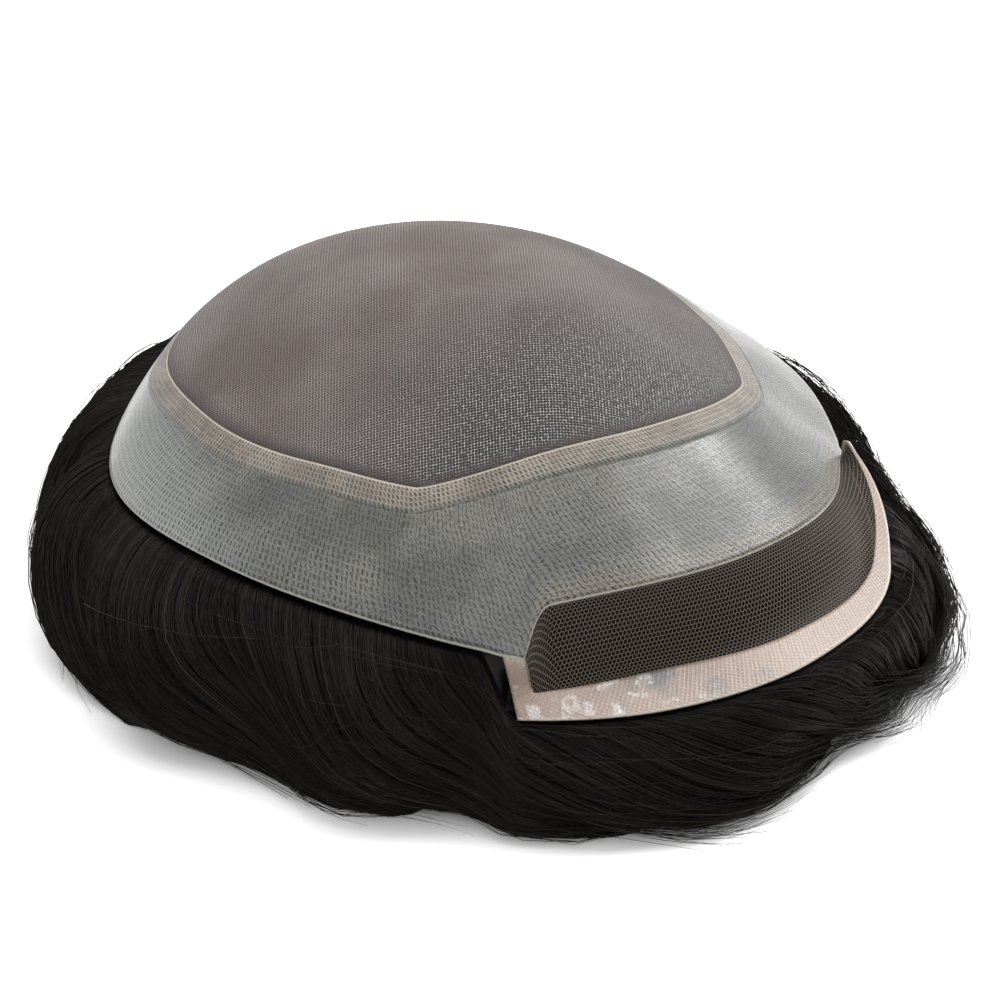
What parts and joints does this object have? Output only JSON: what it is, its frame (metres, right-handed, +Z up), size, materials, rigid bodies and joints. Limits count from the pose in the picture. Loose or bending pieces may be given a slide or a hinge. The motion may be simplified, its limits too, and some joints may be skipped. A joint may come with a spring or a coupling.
{
  "type": "toupee hairpiece",
  "caption": "Toupee laid scalp side up: domed mesh crown with bound edge, thin skin band, lace front with tape edge, resting on its own swept hair.",
  "frame": {"origin": "bottom centre of the part's box, on the surface that it rests on", "axes": "+Z up through the crown, -Y towards the front hairline, X across the head"},
  "size_m": [0.2142, 0.24, 0.0752],
  "materials": {
    "crown_mesh": "fine woven net, matt",
    "binding_ribbon": "woven ribbon, matt",
    "skin_band": "thin translucent film, soft sheen",
    "front_lace": "open lace net, matt",
    "front_tape": "coated tape, soft sheen",
    "hair": "dark hair, silky"
  },
  "bodies": {
    "root": {"crown_mesh": "crown_mesh", "binding_ribbon": "binding_ribbon", "skin_band": "skin_band", "front_lace": "front_lace", "front_tape": "front_tape", "hair": "hair"}
  },
  "joints": []
}
